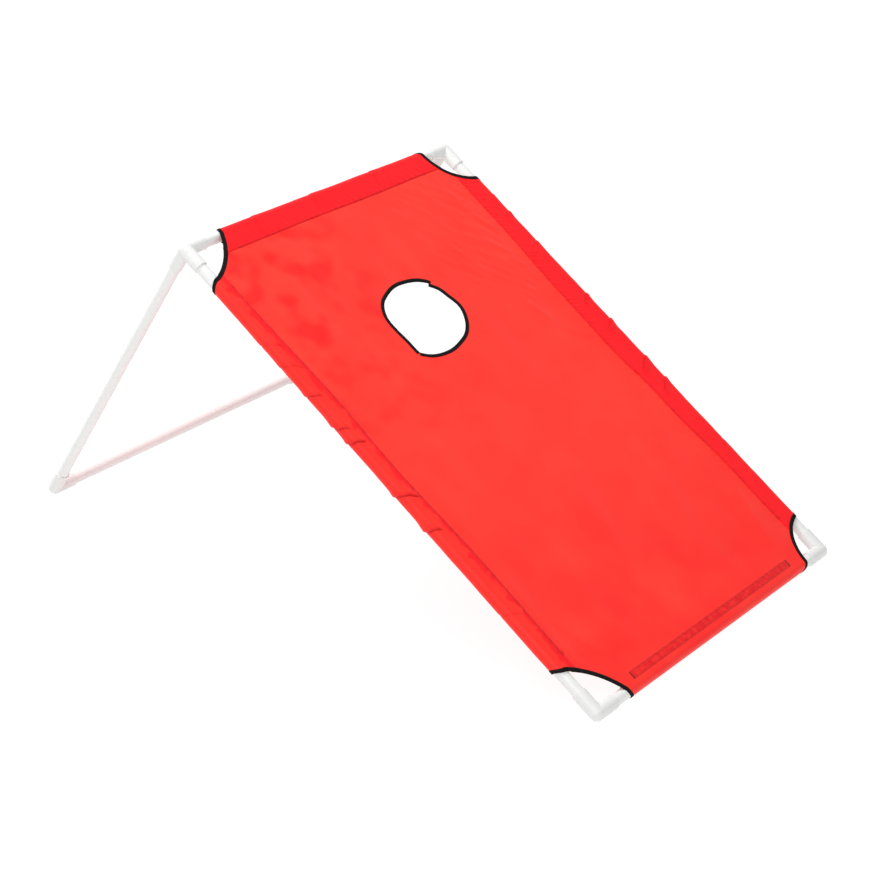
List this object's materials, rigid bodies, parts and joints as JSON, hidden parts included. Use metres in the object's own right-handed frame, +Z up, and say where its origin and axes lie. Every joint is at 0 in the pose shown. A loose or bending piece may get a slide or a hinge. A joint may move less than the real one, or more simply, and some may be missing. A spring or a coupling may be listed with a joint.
{
  "type": "cornhole board",
  "caption": "Portable cornhole board: push-fit plastic tube frame with a stretched cloth deck, a bound round hole near the top and a rear leg frame.",
  "frame": {"origin": "on the floor, at the centre of the footprint", "axes": "+X across the board from the left side rail to the right one, +Y from the low end towards the foot bar, +Z up"},
  "size_m": [0.6158, 1.0702, 0.5001],
  "materials": {
    "tube_plastic": "satin white extruded PVC",
    "fitting_plastic": "satin white moulded PVC",
    "deck_cloth": "bright red coated polyester, fine plain weave, slight sheen",
    "sleeve_cloth": "red polyester, fine plain weave, slight sheen",
    "black_binding": "black woven bias tape",
    "seam_thread": "dark red polyester thread",
    "closure_tape": "dark red hook and loop tape"
  },
  "bodies": {
    "deck": {"bottom_left_binding": "black_binding", "bottom_rail": "tube_plastic", "bottom_right_binding": "black_binding", "bottom_sleeve": "sleeve_cloth", "deck_panel": "deck_cloth", "hole_binding_lower": "black_binding", "hole_binding_upper": "black_binding", "hook_strip": "closure_tape", "left_bottom_elbow": "fitting_plastic", "left_seam_thread": "seam_thread", "left_side_ferrule": "tube_plastic", "left_side_rail_lower": "tube_plastic", "left_side_rail_upper": "tube_plastic", "left_sleeve": "sleeve_cloth", "left_top_elbow": "fitting_plastic", "loop_strip": "closure_tape", "right_bottom_elbow": "fitting_plastic", "right_seam_thread": "seam_thread", "right_side_ferrule": "tube_plastic", "right_side_rail_lower": "tube_plastic", "right_side_rail_upper": "tube_plastic", "right_sleeve": "sleeve_cloth", "right_top_elbow": "fitting_plastic", "strip_threads": "seam_thread", "top_left_binding": "black_binding", "top_rail": "tube_plastic", "top_right_binding": "black_binding", "top_seam_thread": "seam_thread", "top_sleeve": "sleeve_cloth"},
    "legs": {"left_leg": "tube_plastic", "right_leg": "tube_plastic"},
    "foot": {"foot_bar": "tube_plastic", "left_foot_elbow": "fitting_plastic", "right_foot_elbow": "fitting_plastic"}
  },
  "joints": [
    {"name": "leg_pull", "type": "slide", "parent": "deck", "child": "legs", "axis": [0, 0.5436, -0.8393], "range_m": [0, 0.06]},
    {"name": "foot_pull", "type": "slide", "parent": "legs", "child": "foot", "axis": [0, 0.5436, -0.8393], "range_m": [0, 0.06]}
  ]
}
